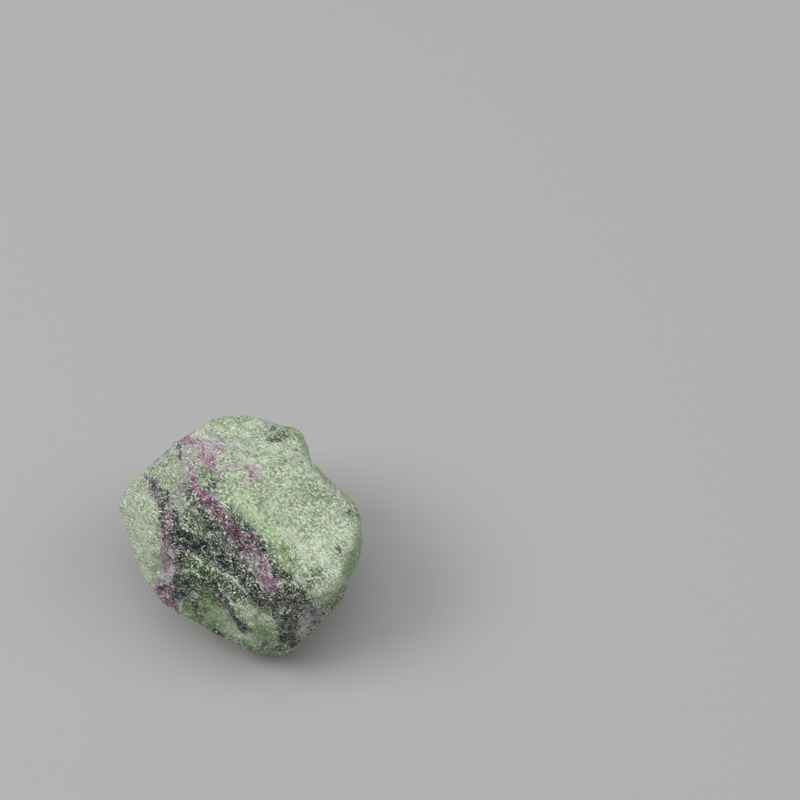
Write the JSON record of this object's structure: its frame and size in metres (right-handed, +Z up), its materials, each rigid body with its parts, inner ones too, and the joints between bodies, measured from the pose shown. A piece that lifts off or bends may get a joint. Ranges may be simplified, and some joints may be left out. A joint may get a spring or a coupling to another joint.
{
  "type": "zoisite stone",
  "caption": "Small rough piece of green zoisite rock with ruby bands and dark amphibole, blocky and rounded, lying on a flat fracture face.",
  "frame": {"origin": "bottom centre of the bounding box, on the plane that the stone lies on", "axes": "+Z up; +X to the right and +Y away from someone who looks at the stone's broad banded side"},
  "size_m": [0.0438, 0.04, 0.033],
  "materials": {
    "rock": "rough broken surface of fine sparkling grains: pale grey-green zoisite, magenta ruby bands and near-black amphibole"
  },
  "bodies": {
    "root": {"zoisite_stone": "rock"}
  },
  "joints": []
}
